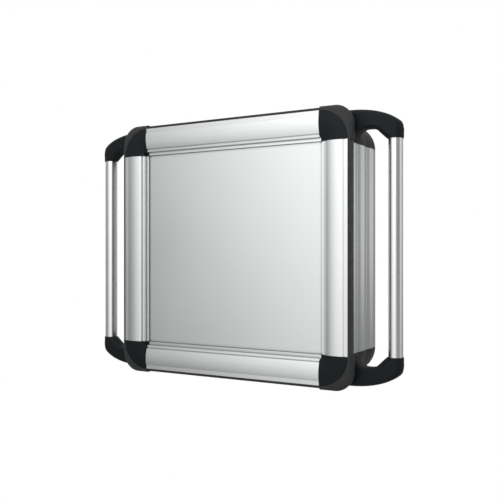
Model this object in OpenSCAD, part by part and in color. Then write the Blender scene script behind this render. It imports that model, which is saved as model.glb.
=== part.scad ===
// Operator panel enclosure with two grab handles, hung from a machine's support arm.
// X runs to the right seen from the front, Y to the back and Z up. The origin is the
// centre of the arm flange's top face, where the support arm is bolted on.

/* [Front frame] */
// Width over the edge trims
frame_w = 500; // [480:1:600]
// Height over the edge trims
frame_h = 494; // [480:1:600]
// Width of the edge trim, seen from the front
trim_w = 4.7; // [4:0.1:6]
// Depth of the edge trim and of the whole front frame
trim_d = 15.5; // [15.5:0.1:18]
// Depth of the panel's face behind the trim's front edge
panel_recess = 10.4; // [10.2:0.1:10.8]
// Thickness of the front panel
panel_t = 4; // [2:0.5:4.5]
// How far the corner caps stand proud of the trims
corner_proud = 3.5; // [0.5:0.1:4]

/* [Housing] */
// How far the housing stands inside the frame's outline
housing_inset = 9.3; // [8:0.1:14]
// Depth of the housing behind the front frame
housing_d = 136; // [120:1:180]
// Outer radius of the housing's corners
corner_r = 50.3; // [46:0.1:54]
// Wall thickness of the hollow housing profile
wall_t = 14; // [13:0.5:15]
// Height of each flute's crest over the grooves beside it
flute_rise = 2; // [1:0.1:2.5]

/* [Handles] */
// Diameter of the handle tube
tube_dia = 25; // [22:0.5:26]
// Distance from the housing's side to the tube's centre line
handle_reach = 77; // [70:1:90]
// Thickness of a handle arm from front to back
arm_t = 28; // [28:0.5:30]
// Depth of the tube's seat in an arm
tube_seat = 18; // [12:1:22]

/* [Rear door] */
// Thickness of the rear door
door_t = 3; // [2:0.5:3]
// Height of each hinge above or below the middle
hinge_z = 130; // [100:1:140]
// Height of each latch above or below the middle
latch_z = 120; // [80:1:140]
// Distance of the latches from the middle
latch_x = 200; // [190:1:200]

/* [Arm mount] */
// Width of the arm flange
flange_w = 150; // [150:1:160]
// Size of the arm flange from front to back
flange_d = 108; // [108:1:112]
// Thickness of the arm flange
flange_t = 10; // [8:0.5:12]
// Hole spacing of the arm's four screws across the flange
bolt_x = 110; // [100:1:120]
// Hole spacing of the arm's four screws from front to back
bolt_y = 76; // [70:1:80]
// Diameter of the four screw holes
bolt_hole = 8.5; // [6.6:0.1:9]
// Diameter of the cable way
cable_hole = 50; // [40:1:54]

/* [Hidden] */

eps = 0.01;
fit = 0.1;           // gap left round a piece that slides into another of the same body
run = 0.05;          // radial clearance of a turning fit
smooth = 96;

// Front frame, measured from the middle of the trims' front edge
face_w = 53.2;
open_x = frame_w / 2 - trim_w - face_w;
open_z = frame_h / 2 - trim_w - face_w;
corner_lap = 0.8;    // the corner caps reach this far over the frame's opening
cap_x = open_x - corner_lap;
cap_z = open_z - corner_lap;
rib_w = 6.5;         // the rib beside the panel ends at the band's wall
rib_front = 7.8;
rib_back = panel_recess - 0.8;
pocket_w = 6.2;
band_to = 11;        // the band tilts a little towards the panel
band_inner = 1.6;
band_outer = 0.8;
crease_y = 1.6;
bulge_from = 12.3;
bulge_r = 65;
bulge_crest = -4.2;
bulge_mid = 33;
lip_from = 45;
lip_front = -2.2;
skin = 3;            // wall left over the frame's chamber
chamber_from = 18.5;
chamber_to = 50.2;
chamber_back = 12.5;
notch_w = 7;         // the corner caps step down beside the panel
notch_y = 7.2;
tongue_w = 2;
tongue_h = 2;
tongue_y = 8;

// Corner angles inside the frame's chambers
angle_from = 20;
angle_to = 37;
angle_mid = (angle_from + angle_to) / 2;
angle_front = 6.8;
angle_back = 12.3;
angle_leg = 28;
screw_in = 14;
angle_screw_r = 2.4;

// Housing
house_x = frame_w / 2 - housing_inset;
house_z = frame_h / 2 - housing_inset;
run_x = house_x - corner_r;
run_z = house_z - corner_r;
in_x = house_x - wall_t;
in_z = house_z - wall_t;
back_y = trim_d + housing_d;
pitch = housing_d / 3;
flute_r = pitch * pitch / (8 * flute_rise) + flute_rise / 2;
groove_level = wall_t - flute_rise;
cell_from = 2.5;
cell_to = groove_level - 3;
cell_rim = 4;
seal_w = 4;
seal_h = 2;
seal_from = 4;
key_len = 15;
key_screw_r = 2.4;
key_head = [4.2, 3];          // radius and height

// Handles
handle_y = trim_d + pitch / 2;
tube_x = house_x + handle_reach;
arm_bottom = run_z + 1;
arm_round = arm_t / 2;
arm_mid_x = house_x - 2;
arm_mid_z = run_z + 12;
arm_rx = tube_x + arm_round - arm_mid_x + 3.5;
arm_rz = 42.5;
arch_x = house_x + 27.5;
arch_r = 22.5;
set_screw_z = arm_bottom + 9;

// Rear door
door_y = back_y + 1.5;
door_inset = 9.7;
door_x = house_x - door_inset;
door_z = house_z - door_inset;
door_r = corner_r - door_inset;
door_back = door_y + door_t;
pivot_x = -door_x - 4.2;
pivot_y = back_y + 5.5;
knuckle_r = 3.4;
pin_r = 1.75;
knuckle_h = 21;
base_h = 50;
leaf_t = 2.4;
leaf_hole = [19, 14];         // from the pin, and above or below the hinge's middle
base_hole_z = 33;

// Latches: the barrels are fixed in the door, and the rotors turn in them with their cams
barrel_r = 8;
rotor_r = 5;
stud_r = 3;
rotor_end = back_y - 6;
cam_t = 3;
cam_y = rotor_end - 3.4;
cam_w = 14;
cam_reach = 22;
keeper_y = cam_y + cam_t + 0.4;
keeper_t = 3;
keeper_x = 213;

// Arm mount, above the middle of the housing
arm_y = trim_d + housing_d / 2;
seat_z = house_z - flute_rise - 0.5;
flange_top = seat_z + flange_t;
plate_t = 4;
plate_d = 90;        // ends short of the frame brackets
flange_screw_r = 2.5;
flange_hole_r = 2.6;
flange_head_r = 4.7;
flange_head_h = 4;

// Puts what is drawn from the frame's middle into the part's own frame.
module placed() translate([0, -arm_y, -flange_top]) children();
// Turns a right-hand piece into a left-hand one, or an upper piece into a lower one.
module side(s) mirror([s < 0 ? 1 : 0, 0, 0]) children();
module level(s) mirror([0, 0, s < 0 ? 1 : 0]) children();
module at(sx = 1, sz = 1) placed() side(sx) level(sz) children();
// Outlines drawn in X and Z, then given a depth along Y.
module facing() mirror([0, 1, 0]) rotate([90, 0, 0]) children();
module slab(y, t) translate([0, y, 0]) facing() linear_extrude(t) children();
// A profile section drawn in X and Y, run along Z or along X.
module along_z(len) translate([0, 0, -len / 2]) linear_extrude(len) children();
module along_x(len) rotate([0, -90, 0]) along_z(len) children();
// A round bar along Y, from y to y + len.
module bar_y(x, y, z, r, len) translate([x, y, z]) facing() cylinder(r = r, h = len, $fn = smooth);

module rounded(x, z, r) {
    square([2 * x, 2 * (z - r)], center = true);
    square([2 * (x - r), 2 * z], center = true);
    for (sx = [-1, 1], sz = [-1, 1]) translate([sx * (x - r), sz * (z - r)]) circle(r, $fn = smooth);
}

module ring(x, z, r, w) {
    difference() {
        rounded(x, z, r);
        rounded(x - w, z - w, r - w);
    }
}

// A cheese-head screw along Y: the head's seat is at y, the shank runs towards dir.
module screw_y(x, y, z, r, len, dir = -1) {
    head_r = r * 1.8;
    head_h = r * 1.2;
    bar_y(x, dir < 0 ? y : y - head_h, z, head_r, head_h);
    bar_y(x, dir < 0 ? y - len : y, z, r, len);
}

/* Front frame */

module frame_section() {
    difference() {
        union() {
            translate([0, rib_front]) square([rib_w + eps, rib_back - rib_front]);
            translate([pocket_w, rib_back - eps]) square([face_w - pocket_w, trim_d - rib_back + eps]);
            polygon([[rib_w, band_inner], [band_to, band_outer], [band_to, trim_d], [rib_w, trim_d]]);
            translate([band_to - eps, crease_y]) square([bulge_from - band_to + 1, trim_d - crease_y]);
            intersection() {
                translate([bulge_mid, bulge_crest + bulge_r]) circle(bulge_r, $fn = smooth);
                translate([bulge_from, bulge_crest])
                    square([lip_from - bulge_from + eps, trim_d - bulge_crest]);
            }
            translate([lip_from, lip_front]) square([face_w - lip_from, trim_d - lip_front]);
        }
        // the pocket that takes the panel's edge
        translate([-1, rib_back]) square([pocket_w + 1, trim_d]);
        intersection() {
            translate([bulge_mid, bulge_crest + bulge_r]) circle(bulge_r - skin, $fn = smooth);
            translate([chamber_from, bulge_crest])
                square([chamber_to - chamber_from, chamber_back - bulge_crest]);
        }
        translate([face_w - tongue_w - fit, tongue_y - fit]) square([tongue_w + 1, tongue_h + 2 * fit]);
    }
}

module angle_holes() {
    for (leg = [[cap_x - screw_in, open_z + angle_mid], [open_x + angle_mid, cap_z - screw_in]])
        bar_y(leg[0], 12, leg[1], angle_screw_r + fit, trim_d);
}

module frame_side_profile() {
    color("#c9cbcd")
    difference() {
        translate([open_x, 0, 0]) along_z(2 * cap_z) frame_section();
        for (s = [-1, 1]) level(s) angle_holes();
    }
}

module frame_level_profile() {
    color("#c9cbcd")
    difference() {
        translate([0, 0, open_z]) along_x(2 * cap_x) frame_section();
        for (s = [-1, 1]) side(s) angle_holes();
    }
}

// Outline of a corner cap: square at the inside, a quarter round outside.
module cap_outline(x, z, r) {
    translate([cap_x, cap_z]) square([x - r - cap_x, z - cap_z]);
    translate([cap_x, cap_z]) square([x - cap_x, z - r - cap_z]);
    translate([x - r, z - r]) circle(r, $fn = 48);
}

module corner_angle(grow = 0) {
    h = angle_back - angle_front + 2 * grow;
    translate([cap_x - angle_leg, angle_front - grow, open_z + angle_from - grow])
        cube([open_x + angle_to - cap_x + angle_leg + grow, h, angle_to - angle_from + 2 * grow]);
    translate([open_x + angle_from - grow, angle_front - grow, cap_z - angle_leg])
        cube([angle_to - angle_from + 2 * grow, h, open_z + angle_from - cap_z + angle_leg + grow]);
}

module frame_corner() {
    edge_x = frame_w / 2 - trim_w;
    edge_z = frame_h / 2 - trim_w;
    color("#282c2e")
    difference() {
        intersection() {
            hull() {
                slab(trim_d - 1.5, 1.5)
                    cap_outline(frame_w / 2 + corner_proud, frame_h / 2 + corner_proud, 35);
                slab(lip_front - 0.4, 0.2) cap_outline(edge_x + 0.8, edge_z + 0.8, 53);
                slab(bulge_crest - 0.5, 0.2) cap_outline(edge_x - 8, edge_z - 8, 44);
            }
            translate([cap_x, -10, cap_z]) cube([100, 40, 100]);
        }
        translate([cap_x - 1, rib_back, cap_z - 1])
            cube([pocket_w + corner_lap + 1, 20, pocket_w + corner_lap + 1]);
        translate([cap_x - 1, notch_y - 20, cap_z - 1])
            cube([notch_w + corner_lap + 1, 20, notch_w + corner_lap + 1]);
        corner_angle(grow = fit);
    }
}

module trim_section() {
    square([trim_w, trim_d]);
    translate([-tongue_w, tongue_y]) square([tongue_w + eps, tongue_h]);
}

module edge_trim_side() {
    color("#34373a") translate([open_x + face_w, 0, 0]) along_z(2 * cap_z) trim_section();
}

module edge_trim_level() {
    color("#34373a") translate([0, 0, open_z + face_w]) along_x(2 * cap_x) trim_section();
}

module frame_corner_angles() {
    color("#8d9094")
    for (sx = [-1, 1], sz = [-1, 1]) side(sx) level(sz) corner_angle();
}

module frame_angle_screws() {
    color("#a8abb0")
    for (sx = [-1, 1], sz = [-1, 1]) side(sx) level(sz)
        for (leg = [[cap_x - screw_in, open_z + angle_mid], [open_x + angle_mid, cap_z - screw_in]])
            screw_y(leg[0], trim_d, leg[1], angle_screw_r, trim_d - angle_back);
}

/* Front panel */

panel_lap = 5.2;
clamp_places = [-120, -40, 40, 120];
clamp_w = 18;
clamp_screw = 12;
clamp_screw_r = 1.9;
clamp_t = 2.5;

module front_panel() {
    color("#d7dadb")
    slab(panel_recess, panel_t)
        square([2 * (open_x + panel_lap), 2 * (open_z + panel_lap)], center = true);
}

module panel_gasket() {
    color("#1d1f20")
    slab(rib_back, panel_recess - rib_back) difference() {
        square([2 * (open_x + 5), 2 * (open_z + 5)], center = true);
        square([2 * (open_x + 1), 2 * (open_z + 1)], center = true);
    }
}

// A cranked clamp: its foot stands on the frame, its toe on the panel's edge.
module clamp(edge) {
    toe = panel_recess + panel_t;
    translate([edge - 4, toe, -clamp_w / 2]) cube([8.5, trim_d - toe + clamp_t, clamp_w]);
    translate([edge, trim_d, -clamp_w / 2]) cube([20, clamp_t, clamp_w]);
}

module clamp_row() {
    for (s = [-1, 1], place = clamp_places) {
        side(s) translate([0, 0, place]) children(0);
        level(s) translate([place, 0, 0]) children(1);
    }
}

module panel_clamps() {
    color("#8d9094")
    clamp_row() {
        difference() {
            clamp(open_x);
            bar_y(open_x + clamp_screw, trim_d - 1, 0, clamp_screw_r + fit, 5);
        }
        difference() {
            rotate([0, -90, 0]) clamp(open_z);
            bar_y(0, trim_d - 1, open_z + clamp_screw, clamp_screw_r + fit, 5);
        }
    }
}

module panel_clamp_screws() {
    color("#a8abb0")
    clamp_row() {
        screw_y(open_x + clamp_screw, trim_d + clamp_t, 0, clamp_screw_r, clamp_t);
        screw_y(0, trim_d + clamp_t, open_z + clamp_screw, clamp_screw_r, clamp_t);
    }
}

/* Housing */

// Outer flutes on a wall that stands wall_t thick, p outwards and q to the back.
module flutes() {
    for (i = [0 : 2]) intersection() {
        translate([wall_t - flute_r, (i + 0.5) * pitch]) circle(flute_r, $fn = 360);
        translate([0, i * pitch - (i > 0 ? eps : 0)]) square([wall_t + 1, pitch + (i > 0 ? eps : 0)]);
    }
}

module seal_groove() translate([seal_from, -1]) square([seal_w, seal_h + 1]);

module housing_section() {
    difference() {
        flutes();
        for (i = [0 : 2])
            translate([cell_from, i * pitch + cell_rim])
                square([cell_to - cell_from, pitch - 2 * cell_rim]);
        seal_groove();
    }
}

module house_side() translate([in_x, trim_d, 0]) along_z(2 * run_z) housing_section();
module house_top() translate([0, trim_d, in_z]) along_x(2 * run_x) housing_section();

module key_holes() {
    for (s = [-1, 1]) {
        translate([s * (run_x - key_len / 2), arm_y, in_z - 1])
            cylinder(r = key_screw_r + fit, h = 6, $fn = smooth);
    }
}

module side_key_holes() {
    for (s = [-1, 1])
        translate([in_x - 1, arm_y, s * (run_z - key_len / 2)]) rotate([0, 90, 0])
            cylinder(r = key_screw_r + fit, h = 6, $fn = smooth);
}

module housing_side_profile() {
    color("#b9bcbf")
    difference() {
        house_side();
        side_key_holes();
    }
}

module housing_bottom_profile() {
    color("#b9bcbf")
    difference() {
        house_top();
        key_holes();
    }
}

module mount_holes(r, z, h) {
    for (sx = [-1, 1], sy = [-1, 1])
        translate([sx * bolt_x / 2, arm_y + sy * bolt_y / 2, z]) cylinder(r = r, h = h, $fn = smooth);
}

module flange_screw_places() {
    for (sx = [-1, 1]) translate([sx * (flange_w / 2 - 9), arm_y, 0]) children();
}

module housing_top_profile() {
    color("#b9bcbf")
    difference() {
        house_top();
        key_holes();
        translate([-flange_w / 2 - fit, arm_y - flange_d / 2 - fit, seat_z])
            cube([flange_w + 2 * fit, flange_d + 2 * fit, 10]);
        translate([0, arm_y, in_z - 1]) cylinder(r = cable_hole / 2 + 2, h = 30, $fn = smooth);
        mount_holes(bolt_hole / 2, in_z - 1, 30);
        flange_screw_places() translate([0, 0, in_z - 1]) cylinder(r = flange_hole_r, h = 30, $fn = smooth);
    }
}

module corner_ring() {
    translate([run_x, trim_d, run_z]) facing() rotate_extrude(angle = 90, $fn = smooth)
        translate([corner_r - wall_t, 0]) children();
}

// Angles at which a handle arm is screwed to its housing corner
arm_screw_angles = [18, 46];
arm_screw_r = 2.5;
arm_screw_head = [5, 3.6];    // radius and height, flat against the curved wall's edge

module arm_screw_line(r, from, len) {
    for (a = arm_screw_angles)
        translate([run_x, handle_y, run_z]) rotate([0, -a, 0]) translate([from, 0, 0])
            rotate([0, 90, 0]) cylinder(r = r, h = len, $fn = smooth);
}

module housing_corner() {
    color("#303437")
    difference() {
        union() {
            corner_ring() difference() { flutes(); seal_groove(); }
            translate([in_x + cell_from + fit, trim_d + pitch + cell_rim + fit, run_z - key_len])
                cube([cell_to - cell_from - 2 * fit, pitch - 2 * cell_rim - 2 * fit, key_len + 1]);
            translate([run_x - key_len, trim_d + pitch + cell_rim + fit, in_z + cell_from + fit])
                cube([key_len + 1, pitch - 2 * cell_rim - 2 * fit, cell_to - cell_from - 2 * fit]);
        }
        arm_screw_line(arm_screw_r + 0.6, corner_r - wall_t - 2, wall_t + 4);
        translate([in_x - 1, arm_y, run_z - key_len / 2]) rotate([0, 90, 0])
            cylinder(r = key_screw_r, h = 7, $fn = smooth);
        translate([run_x - key_len / 2, arm_y, in_z - 1]) cylinder(r = key_screw_r, h = 7, $fn = smooth);
    }
}

module key_screw() {
    cylinder(r = key_screw_r, h = 6, $fn = smooth);
    translate([0, 0, -key_head[1]]) cylinder(r = key_head[0], h = key_head[1], $fn = smooth);
}

module housing_corner_screws() {
    color("#a8abb0")
    for (sx = [-1, 1], sz = [-1, 1]) side(sx) level(sz) {
        translate([in_x, arm_y, run_z - key_len / 2]) rotate([0, 90, 0]) key_screw();
        translate([run_x - key_len / 2, arm_y, in_z]) key_screw();
    }
}

module housing_seal() {
    inset = wall_t - seal_from - seal_w;
    color("#1d1f20")
    slab(trim_d, seal_h)
        ring(house_x - inset, house_z - inset, corner_r - inset, seal_w);
}

// Angle brackets that pull the front frame onto the housing.
bracket_places = [-150, 0, 150];
bracket_w = 22;
bracket_t = 3;
bracket_leg = 22;
bracket_foot = 14;
bracket_hole = [8.5, 14];     // from the wall, and behind the frame
bracket_screw_r = 2;

module bracket(wall) {
    difference() {
        union() {
            translate([wall - bracket_t, trim_d, -bracket_w / 2]) cube([bracket_t, bracket_leg, bracket_w]);
            translate([wall - bracket_foot, trim_d, -bracket_w / 2])
                cube([bracket_foot, bracket_t, bracket_w]);
        }
        bar_y(wall - bracket_hole[0], trim_d - 1, 0, bracket_screw_r + fit, 6);
        translate([wall - 5, trim_d + bracket_hole[1], 0]) rotate([0, 90, 0])
            cylinder(r = bracket_screw_r + fit, h = 8, $fn = smooth);
    }
}

module bracket_screws(wall) {
    screw_y(wall - bracket_hole[0], trim_d + bracket_t, 0, bracket_screw_r, bracket_t);
    translate([wall - bracket_t, trim_d + bracket_hole[1], 0]) rotate([0, 90, 0]) {
        cylinder(r = bracket_screw_r, h = bracket_t, $fn = smooth);
        translate([0, 0, -2.4]) cylinder(r = bracket_screw_r * 1.8, h = 2.4, $fn = smooth);
    }
}

module bracket_row() {
    for (s = [-1, 1], place = bracket_places) {
        side(s) translate([0, 0, place]) children(0);
        level(s) translate([place, 0, 0]) rotate([0, -90, 0]) children(1);
    }
}

module frame_brackets() {
    color("#8d9094") bracket_row() { bracket(in_x); bracket(in_z); }
}

module frame_bracket_screws() {
    color("#a8abb0") bracket_row() { bracket_screws(in_x); bracket_screws(in_z); }
}

/* Handles */

module arm_outline() {
    difference() {
        intersection() {
            translate([arm_mid_x, arm_mid_z])
                polygon([for (a = [0 : 4 : 356]) [arm_rx * cos(a), arm_rz * sin(a)]]);
            translate([house_x - 26, arm_bottom]) square([200, 100]);
            // the root's end is cut back to a thin edge on the housing
            polygon([[house_x - 29, arm_bottom], [house_x - 29, house_z - 6], [house_x - 14, house_z + 6],
                     [house_x + 150, house_z + 6], [house_x + 150, arm_bottom]]);
        }
        translate([arch_x, run_z]) circle(arch_r, $fn = smooth);
        polygon([[arch_x, run_z], [arch_x, run_z + arch_r], [arch_x + 13, run_z + arch_r - 1.5],
                 [arch_x + 22, run_z + arch_r - 6.5], [tube_x - arm_round + 1, arm_bottom],
                 [tube_x - arm_round + 1, run_z]]);
    }
}

module handle_arm() {
    color("#272b2d")
    difference() {
        intersection() {
            slab(handle_y - arm_t / 2, arm_t) arm_outline();
            translate([0, 0, arm_bottom - 1]) linear_extrude(100) {
                translate([0, handle_y - arm_t / 2]) square([tube_x, arm_t]);
                translate([tube_x, handle_y]) circle(arm_round, $fn = smooth);
            }
        }
        translate([run_x, trim_d - 1, run_z]) facing()
            cylinder(r = corner_r - wall_t + 2, h = 60, $fn = smooth);
        corner_ring() flutes();
        translate([tube_x, handle_y, arm_bottom - 1])
            cylinder(r = tube_dia / 2 + run, h = tube_seat + 1, $fn = smooth);
        arm_screw_line(arm_screw_r + fit, corner_r - 2, 13);
        translate([tube_x - 30, handle_y, set_screw_z]) rotate([0, 90, 0])
            cylinder(r = 2.1, h = 30, $fn = smooth);
    }
}

module handle_tube() {
    len = 2 * (arm_bottom + tube_seat - 0.2);
    color("#d2d4d6")
    translate([tube_x, handle_y, -len / 2]) difference() {
        cylinder(r = tube_dia / 2, h = len, $fn = smooth);
        translate([0, 0, -1]) cylinder(r = tube_dia / 2 - 2, h = len + 2, $fn = smooth);
    }
}

module handle_screws() {
    color("#a8abb0")
    for (sx = [-1, 1], sz = [-1, 1]) side(sx) level(sz) {
        arm_screw_line(arm_screw_r, corner_r - wall_t - 4, wall_t + 14);
        arm_screw_line(arm_screw_head[0], corner_r - wall_t - 4, arm_screw_head[1]);
    }
}

module handle_set_screws() {
    color("#6f7377")
    for (sx = [-1, 1], sz = [-1, 1]) side(sx) level(sz)
        translate([tube_x - tube_dia / 2 - 2.6, handle_y, set_screw_z]) rotate([0, 90, 0]) difference() {
            cylinder(r = 2, h = 2.5, $fn = smooth);
            translate([0, 0, -1]) cylinder(r = 1.1, h = 2.2, $fn = 6);
        }
}

/* Arm mount and what is inside */

module arm_flange() {
    color("#303437")
    difference() {
        translate([0, arm_y, seat_z]) linear_extrude(flange_t) rounded(flange_w / 2, flange_d / 2, 12);
        translate([0, arm_y, seat_z - 1]) cylinder(r = cable_hole / 2, h = 30, $fn = smooth);
        mount_holes(bolt_hole / 2, seat_z - 1, 30);
        flange_screw_places() {
            translate([0, 0, seat_z - 1]) cylinder(r = flange_hole_r, h = 30, $fn = smooth);
            translate([0, 0, flange_top - flange_head_h])
                cylinder(r = flange_head_r + 0.3, h = flange_head_h + 1, $fn = smooth);
        }
    }
}

module arm_reinforcement() {
    color("#8d9094")
    difference() {
        translate([-flange_w / 2, arm_y - plate_d / 2, in_z - plate_t]) cube([flange_w, plate_d, plate_t]);
        translate([0, arm_y, in_z - plate_t - 1]) cylinder(r = cable_hole / 2 + 2, h = 30, $fn = smooth);
        mount_holes(bolt_hole / 2, in_z - plate_t - 1, 30);
        flange_screw_places() translate([0, 0, in_z - plate_t - 1])
            cylinder(r = flange_hole_r, h = 30, $fn = smooth);
    }
}

module flange_screws() {
    color("#a8abb0")
    flange_screw_places() {
        translate([0, 0, in_z - plate_t])
            cylinder(r = flange_screw_r, h = flange_top - in_z + plate_t - flange_head_h, $fn = smooth);
        translate([0, 0, flange_top - flange_head_h]) difference() {
            cylinder(r = flange_head_r, h = flange_head_h - 0.4, $fn = smooth);
            translate([0, 0, 1.6]) cylinder(r = 2.3, h = 3, $fn = 6);
        }
    }
}

// Rail for strain-relieving the cables that come in through the arm.
rail_drop = 30;
rail_len = 240;

module cable_rail() {
    color("#9da0a4")
    translate([0, arm_y, in_z - rail_drop]) difference() {
        translate([-rail_len / 2, -15, -10]) cube([rail_len, 30, 10]);
        translate([-rail_len / 2 - 1, -13, -8]) cube([rail_len + 2, 26, 6]);
        translate([-rail_len / 2 - 1, -6, -11]) cube([rail_len + 2, 12, 6]);
    }
}

module cable_rail_brackets() {
    color("#8d9094")
    for (s = [-1, 1]) side(s) translate([rail_len / 2 - 24, arm_y - 12, in_z - rail_drop]) {
        cube([20, 24, 3]);
        cube([3, 24, rail_drop]);
        translate([0, 0, rail_drop - 3]) cube([20, 24, 3]);
    }
}

module earth_stud() {
    color("#b0a070")
    translate([-in_x, back_y - 40, -60]) rotate([0, 90, 0]) {
        cylinder(r = 3, h = 18, $fn = smooth);
        for (z = [0, 6]) translate([0, 0, z]) difference() {
            cylinder(r = 6, h = 5, $fn = 6);
            translate([0, 0, -1]) cylinder(r = 3, h = 7, $fn = smooth);
        }
    }
}

/* Rear door, its hinges and latches */

module both_hinges() for (s = [-1, 1]) translate([pivot_x, pivot_y, s * hinge_z]) children();
module both_latches() for (s = [-1, 1]) translate([latch_x, 0, s * latch_z]) children();

module rear_door() {
    color("#c3c6c8")
    difference() {
        slab(door_y, door_t) rounded(door_x, door_z, door_r);
        both_latches() bar_y(0, door_y - 1, 0, barrel_r + fit, door_t + 2);
        both_hinges() for (s = [-1, 1])
            bar_y(leaf_hole[0], door_y - pivot_y - 1, s * leaf_hole[1], 2, door_t + 2);
    }
}

module door_gasket() {
    color("#1d1f20")
    slab(back_y, door_y - back_y) ring(door_x - 0.8, door_z - 0.8, door_r - 0.8, 3);
}

module hinge_bases() {
    foot = back_y - pivot_y;
    color("#8d9094")
    both_hinges() difference() {
        union() {
            translate([-knuckle_r, foot, -40]) cube([2 * knuckle_r, 3, 80]);
            for (s = [-1, 1]) level(s) translate([0, 0, knuckle_h / 2 + 0.5]) {
                translate([-knuckle_r, foot, 0]) cube([2 * knuckle_r, -foot, (base_h - knuckle_h) / 2 - 0.5]);
                cylinder(r = knuckle_r, h = (base_h - knuckle_h) / 2 - 0.5, $fn = smooth);
            }
        }
        translate([0, 0, -base_h]) cylinder(r = pin_r, h = 2 * base_h, $fn = smooth);
        translate([-knuckle_r - 1, -3.8, -knuckle_h / 2 - 0.5]) cube([2 * knuckle_r + 2, 8, knuckle_h + 1]);
        for (s = [-1, 1]) bar_y(0, foot - 1, s * base_hole_z, 1.7, 5);
    }
}

module hinge_pins() {
    color("#a8abb0")
    both_hinges() translate([0, 0, -base_h / 2]) cylinder(r = pin_r, h = base_h, $fn = smooth);
}

module hinge_base_screws() {
    color("#a8abb0")
    both_hinges() for (s = [-1, 1]) screw_y(0, back_y - pivot_y + 3, s * base_hole_z, 1.6, 3);
}

module hinge_leaves() {
    leaf_y = door_back - pivot_y;
    color("#9da0a4")
    both_hinges() difference() {
        union() {
            translate([0, 0, -knuckle_h / 2]) cylinder(r = knuckle_r, h = knuckle_h, $fn = smooth);
            translate([0, leaf_y, -knuckle_h / 2]) cube([10, leaf_t, knuckle_h]);
            translate([7, leaf_y, -22]) cube([26, leaf_t, 44]);
        }
        translate([0, 0, -base_h]) cylinder(r = pin_r + run, h = 2 * base_h, $fn = smooth);
        for (s = [-1, 1]) bar_y(leaf_hole[0], leaf_y - 1, s * leaf_hole[1], 2, leaf_t + 2);
    }
}

module hinge_leaf_screws() {
    color("#a8abb0")
    both_hinges() for (s = [-1, 1])
        screw_y(leaf_hole[0], door_back - pivot_y + leaf_t, s * leaf_hole[1], 1.9, door_t + leaf_t);
}

module latch_barrels() {
    color("#3a3e41")
    both_latches() difference() {
        union() {
            bar_y(0, door_back, 0, 11, 3);
            bar_y(0, back_y - 5.5, 0, barrel_r, door_back - back_y + 5.5);
        }
        bar_y(0, back_y - 10, 0, rotor_r + run, 30);
    }
}

module latch_barrel_nuts() {
    color("#8d9094")
    both_latches() translate([0, back_y - 3, 0]) facing() difference() {
        cylinder(r = 12, h = door_y - back_y + 3, $fn = 6);
        translate([0, 0, -1]) cylinder(r = barrel_r + fit, h = 20, $fn = smooth);
    }
}

module latch_rotor() {
    color("#c8cacc")
    translate([latch_x, 0, 0]) difference() {
        union() {
            bar_y(0, rotor_end, 0, rotor_r, door_back + 2.6 - rotor_end);
            bar_y(0, cam_y - 4, 0, stud_r, rotor_end - cam_y + 4 + eps);
        }
        translate([-0.9, door_back + 0.4, -3.6]) cube([1.8, 5, 7.2]);
    }
}

// The cam hangs down when the latch is open and points to the keeper when it is shut.
module latch_cam() {
    color("#8d9094")
    slab(cam_y, cam_t) translate([latch_x, 0]) difference() {
        union() {
            circle(cam_w / 2, $fn = smooth);
            translate([-cam_w / 2, -cam_reach + cam_w / 2]) square([cam_w, cam_reach - cam_w / 2]);
            translate([0, -cam_reach + cam_w / 2]) circle(cam_w / 2, $fn = smooth);
        }
        circle(stud_r, $fn = smooth);
    }
}

module latch_nuts() {
    color("#a8abb0")
    translate([latch_x, cam_y - 3, 0]) facing() difference() {
        cylinder(r = 6, h = 3, $fn = 6);
        translate([0, 0, -1]) cylinder(r = stud_r, h = 6, $fn = smooth);
    }
}

module at_latch(s) translate([0, 0, s * latch_z]) children();

module latch_keepers() {
    color("#8d9094")
    for (s = [-1, 1]) translate([0, 0, s * latch_z]) {
        translate([keeper_x, keeper_y, -8]) cube([in_x - keeper_x, keeper_t, 16]);
        translate([in_x - 3, keeper_y - 20, -8]) cube([3, 20, 16]);
    }
}

at() frame_level_profile();  // frame_profile_top
at(1, -1) frame_level_profile();  // frame_profile_bottom
at(-1, 1) frame_side_profile();  // frame_profile_left
at() frame_side_profile();  // frame_profile_right
at(-1, 1) frame_corner();  // frame_corner_top_left
at(1, 1) frame_corner();  // frame_corner_top_right
at(-1, -1) frame_corner();  // frame_corner_bottom_left
at(1, -1) frame_corner();  // frame_corner_bottom_right
at() edge_trim_level();  // edge_trim_top
at(1, -1) edge_trim_level();  // edge_trim_bottom
at(-1, 1) edge_trim_side();  // edge_trim_left
at() edge_trim_side();  // edge_trim_right
at() frame_corner_angles();
at() frame_angle_screws();
at() front_panel();
at() panel_gasket();
at() panel_clamps();
at() panel_clamp_screws();
at() housing_top_profile();  // housing_profile_top
at(1, -1) housing_bottom_profile();  // housing_profile_bottom
at(-1, 1) housing_side_profile();  // housing_profile_left
at() housing_side_profile();  // housing_profile_right
at(-1, 1) housing_corner();  // housing_corner_top_left
at(1, 1) housing_corner();  // housing_corner_top_right
at(-1, -1) housing_corner();  // housing_corner_bottom_left
at(1, -1) housing_corner();  // housing_corner_bottom_right
at() housing_corner_screws();
at() housing_seal();
at() frame_brackets();
at() frame_bracket_screws();
at(-1, 1) handle_arm();  // handle_arm_top_left
at(1, 1) handle_arm();  // handle_arm_top_right
at(-1, -1) handle_arm();  // handle_arm_bottom_left
at(1, -1) handle_arm();  // handle_arm_bottom_right
at(-1, 1) handle_tube();  // handle_tube_left
at() handle_tube();  // handle_tube_right
at() handle_screws();
at() handle_set_screws();
at() arm_flange();
at() arm_reinforcement();
at() flange_screws();
at() cable_rail();
at() cable_rail_brackets();
at() rear_door();
at() door_gasket();
at() hinge_bases();
at() hinge_pins();
at() hinge_base_screws();
at() hinge_leaves();
at() hinge_leaf_screws();
at() latch_barrels();
at() latch_barrel_nuts();
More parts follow.
